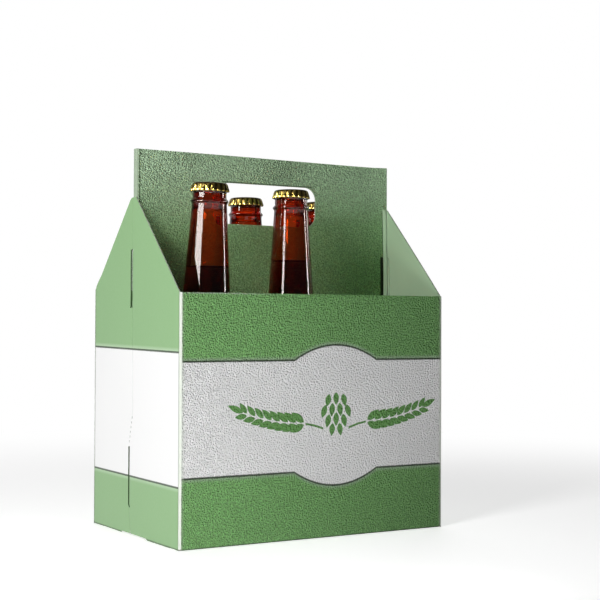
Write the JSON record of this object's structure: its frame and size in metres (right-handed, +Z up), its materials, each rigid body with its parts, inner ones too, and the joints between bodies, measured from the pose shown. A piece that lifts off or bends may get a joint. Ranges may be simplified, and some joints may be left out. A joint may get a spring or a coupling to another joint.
{
  "type": "six-pack bottle carrier",
  "caption": "Folded paperboard bottle carrier with gabled ends, a tall handle with a hand hole and divided cells, holding capped amber glass bottles, with a front cell left empty.",
  "frame": {"origin": "middle of the underside of the basket, on the surface it stands on", "axes": "+X along the length, towards the end with the empty front cell; +Y from the front panel to the back panel; +Z up"},
  "size_m": [0.228, 0.155, 0.2893],
  "materials": {
    "card": "matte",
    "amber_glass": "gloss",
    "drink": "gloss",
    "label": "satin",
    "cap": "gloss",
    "liner": "matte"
  },
  "bodies": {
    "root": {"carrier": "card", "bottle_front_left": "amber_glass", "bottle_front_middle": "amber_glass", "bottle_back_left": "amber_glass", "bottle_back_middle": "amber_glass", "bottle_back_right": "amber_glass", "drink_front_left": "drink", "drink_front_middle": "drink", "drink_back_left": "drink", "drink_back_middle": "drink", "drink_back_right": "drink", "label_front_left": "label", "label_front_middle": "label", "label_back_left": "label", "label_back_middle": "label", "label_back_right": "label", "cap_front_left": "cap", "cap_front_middle": "cap", "cap_back_left": "cap", "cap_back_middle": "cap", "cap_back_right": "cap", "liner_front_left": "liner", "liner_front_middle": "liner", "liner_back_left": "liner", "liner_back_middle": "liner", "liner_back_right": "liner"}
  },
  "joints": []
}
